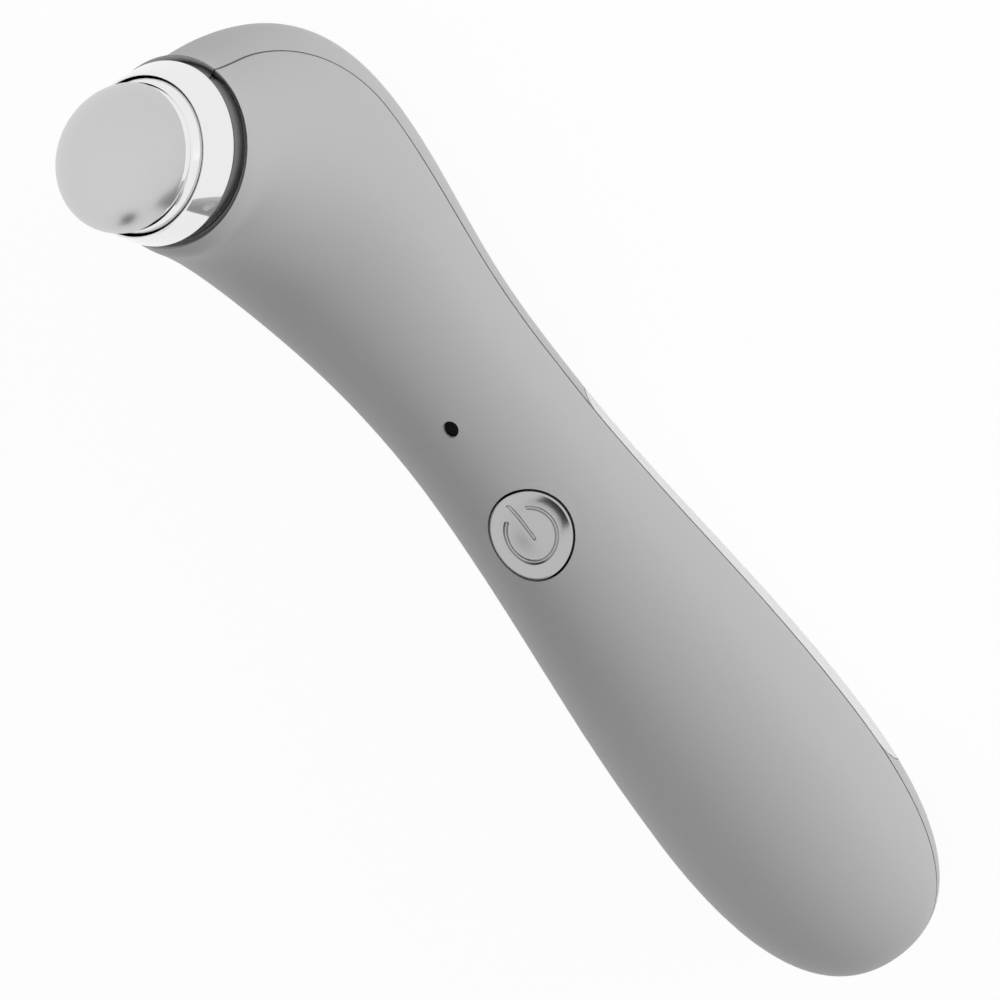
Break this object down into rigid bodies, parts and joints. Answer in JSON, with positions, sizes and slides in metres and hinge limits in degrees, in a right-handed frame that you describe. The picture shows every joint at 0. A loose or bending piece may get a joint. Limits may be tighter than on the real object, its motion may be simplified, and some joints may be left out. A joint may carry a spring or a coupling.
{
  "type": "cooling facial massager",
  "caption": "Hand-held facial massager with a bent head, a domed metal cooling tip in a polished collar, one power button and a clip-on battery cover.",
  "frame": {"origin": "under the middle of the body's box, on the surface that it lies on with its back down", "axes": "+X from the handle's end to the head, +Z out of the front where the button is, +Y across"},
  "size_m": [0.1672, 0.0376, 0.0623],
  "materials": {
    "shell": "soft satin grey moulding",
    "cover": "satin light grey moulding",
    "screw": "zinc plated",
    "cell": "printed sleeve, plain",
    "contact": "nickel plated",
    "button": "satin plated plastic",
    "board": "green solder mask",
    "black_plastic": "moulded black",
    "lamp": "clear",
    "guide": "smoked",
    "ferrite": "ferrite",
    "can": "drawn can",
    "weight": "sintered",
    "rubber": "soft black",
    "chrome": "mirror polish",
    "tip": "satin face, polished edge",
    "inner_plastic": "natural white",
    "ceramic": "alumina",
    "pellet": "bismuth telluride",
    "pad": "silicone pad",
    "sink": "extruded"
  },
  "bodies": {
    "housing": {"front_shell": "shell", "rear_shell": "shell", "shell_screws": "screw", "battery_left": "cell", "battery_right": "cell", "contact_plates": "contact", "contact_springs": "contact", "circuit_board": "board", "board_screws": "screw", "tactile_switch": "black_plastic", "indicator_led": "lamp", "light_guide": "guide", "control_chip": "black_plastic", "choke": "ferrite", "capacitor": "can", "vibration_motor": "can", "motor_cradle": "rubber", "collar": "chrome", "treatment_tip": "tip", "head_seal": "rubber", "head_frame": "inner_plastic", "cold_plate": "ceramic", "semiconductor_pellets": "pellet", "hot_plate": "ceramic", "thermal_pad": "pad", "heat_sink": "sink"},
    "button": {"power_button": "button"},
    "plunger": {"switch_plunger": "black_plastic"},
    "cover": {"battery_cover": "cover"},
    "rotor": {"motor_shaft": "contact", "eccentric_weight": "weight"}
  },
  "joints": [
    {"name": "button_press", "type": "slide", "parent": "housing", "child": "button", "axis": [0, 0, -1], "range_m": [0, 0.0004], "stiffness_N_per_m": 2000},
    {"name": "plunger_press", "type": "slide", "parent": "housing", "child": "plunger", "axis": [0, 0, -1], "range_m": [0, 0.0004]},
    {"name": "cover_lift", "type": "slide", "parent": "housing", "child": "cover", "axis": [0, 0, -1], "range_m": [0, 0.03]},
    {"name": "motor_spin", "type": "hinge", "parent": "housing", "child": "rotor", "pos_m": [0.04505, 0, 0.01122], "axis": [1, 0, 0], "continuous": true}
  ],
  "couplings": [
    {"joint": "plunger_press", "follows": "button_press", "ratio": 1}
  ]
}
